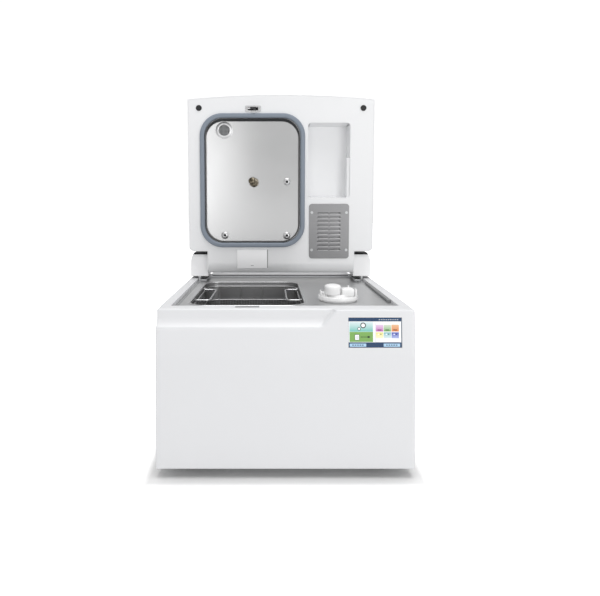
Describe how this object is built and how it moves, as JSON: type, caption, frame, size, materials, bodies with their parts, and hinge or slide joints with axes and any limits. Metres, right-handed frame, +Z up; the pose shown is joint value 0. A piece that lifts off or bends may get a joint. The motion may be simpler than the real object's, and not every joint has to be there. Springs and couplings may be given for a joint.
{
  "type": "benchtop instrument washer-disinfector",
  "caption": "Top-loading benchtop instrument washer-disinfector with a hinged lid, gasketed steel chamber, wire basket, salt cap and colour display.",
  "frame": {"origin": "on the bench, under the middle of the body, with the lid open", "axes": "+Z up, +X to the right as seen from the front, +Y to the back; the front cover faces -Y and the lid hinge runs along X at the back"},
  "size_m": [0.48, 0.5, 0.7925],
  "materials": {
    "white_moulding": "satin moulded white",
    "white_sheet": "powder-coated white",
    "lid_moulding": "satin moulded pale grey-white",
    "cap_white": "glossy white moulding",
    "stainless": "brushed stainless sheet",
    "polished_stainless": "polished stainless pressing",
    "chamber_steel": "satin stainless tank",
    "wire_steel": "electropolished wire",
    "zinc_steel": "zinc-plated",
    "silicone": "blue-grey silicone",
    "black_rubber": "matte black rubber",
    "brass": "turned brass",
    "bronze": "sintered bronze",
    "black_plastic": "fine-textured black moulding",
    "grey_plastic": "grey moulding",
    "motor_paint": "dark motor enamel",
    "tank_plastic": "translucent natural moulding",
    "circuit_board": "green solder mask",
    "screen": "glossy display window",
    "ivory_plastic": "natural acetal"
  },
  "bodies": {
    "body": {"base_tray": "zinc_steel", "front_cover": "white_moulding", "side_cover_left": "white_sheet", "side_cover_right": "white_sheet", "rear_cover": "white_sheet", "top_frame": "white_moulding", "steel_deck": "stainless", "chassis_frame": "zinc_steel", "feet": "black_rubber", "cover_screws": "zinc_steel", "chamber": "chamber_steel", "drain_elbow": "grey_plastic", "heater_element": "chamber_steel", "ultrasonic_transducers": "zinc_steel", "wash_pump": "motor_paint", "drain_pump": "motor_paint", "inlet_valve": "grey_plastic", "dosing_pump": "grey_plastic", "softener_tank": "tank_plastic", "softener_neck": "cap_white", "power_supply": "zinc_steel", "control_board": "circuit_board", "display_glass": "screen", "display_module": "black_plastic", "fan_housing": "black_plastic", "mains_inlet": "black_plastic", "water_inlet": "brass", "drain_outlet": "grey_plastic", "hinge_bracket_left": "zinc_steel", "hinge_bracket_right": "zinc_steel", "hinge_cover_left": "lid_moulding", "hinge_cover_right": "lid_moulding", "hinge_bushes": "bronze", "torsion_springs": "wire_steel", "lock_housing": "black_plastic"},
    "lid": {"hinge_shaft": "wire_steel", "lid_shell": "lid_moulding", "lid_panel": "lid_moulding", "lid_plate": "polished_stainless", "lid_gasket": "silicone", "spray_nozzle": "brass", "nozzle_pipe": "grey_plastic", "lid_ports": "polished_stainless", "filter_port": "polished_stainless", "vent_grille": "stainless", "vent_screws": "zinc_steel", "dryer_duct": "grey_plastic", "lid_bumpers": "black_rubber", "latch_plate": "stainless"},
    "hook": {"latch_hook": "black_plastic"},
    "basket": {"basket": "wire_steel"},
    "bail_left": {"basket_handle_left": "wire_steel"},
    "bail_right": {"basket_handle_right": "wire_steel"},
    "cap": {"screw_cap": "cap_white"},
    "seal": {"cap_seal": "black_rubber"},
    "strainer": {"drain_strainer": "polished_stainless"},
    "impeller": {"pump_impeller": "ivory_plastic"},
    "rotor": {"fan_rotor": "black_plastic"},
    "rocker": {"power_rocker": "black_plastic"},
    "bolt": {"lock_bolt": "wire_steel"}
  },
  "joints": [
    {"name": "lid_hinge", "type": "hinge", "parent": "body", "child": "lid", "pos_m": [0, 0.1806, 0.3624], "axis": [-1, 0, 0], "range_deg": [-86, 0]},
    {"name": "latch_swing", "type": "hinge", "parent": "lid", "child": "hook", "pos_m": [-0.068, 0.11869, 0.75464], "axis": [0, -0.0698, 0.9976], "range_deg": [0, 15], "stiffness_Nm_per_rad": 0.05},
    {"name": "lock_slide", "type": "slide", "parent": "body", "child": "bolt", "axis": [1, 0, 0], "range_m": [0, 0.012], "stiffness_N_per_m": 150},
    {"name": "basket_lift", "type": "slide", "parent": "body", "child": "basket", "axis": [0, 0, 1], "range_m": [0, 0.2]},
    {"name": "bail_left_fold", "type": "hinge", "parent": "basket", "child": "bail_left", "pos_m": [-0.188, -0.03, 0.3014], "axis": [0, -1, 0], "range_deg": [0, 90]},
    {"name": "bail_right_fold", "type": "hinge", "parent": "basket", "child": "bail_right", "pos_m": [0.038, -0.03, 0.3014], "axis": [0, 1, 0], "range_deg": [0, 90]},
    {"name": "cap_lift", "type": "slide", "parent": "body", "child": "seal", "axis": [0, 0, 1], "range_m": [0, 0.006]},
    {"name": "cap_turn", "type": "hinge", "parent": "seal", "child": "cap", "pos_m": [0.115, -0.115, 0.31], "axis": [0, 0, 1], "range_deg": [0, 540]},
    {"name": "strainer_turn", "type": "hinge", "parent": "body", "child": "strainer", "pos_m": [-0.075, -0.03, 0.15], "axis": [0, 0, 1], "range_deg": [0, 90]},
    {"name": "impeller_spin", "type": "hinge", "parent": "body", "child": "impeller", "pos_m": [-0.12, -0.03, 0.068], "axis": [1, 0, 0], "continuous": true},
    {"name": "fan_spin", "type": "hinge", "parent": "body", "child": "rotor", "pos_m": [0.16, 0.22, 0.1], "axis": [0, 1, 0], "continuous": true},
    {"name": "rocker_tilt", "type": "hinge", "parent": "body", "child": "rocker", "pos_m": [0.068, 0.235, 0.051], "axis": [1, 0, 0], "range_deg": [-12, 0]}
  ],
  "couplings": [
    {"joint": "cap_lift", "follows": "cap_turn", "m_per_rad": 0.00063662}
  ]
}
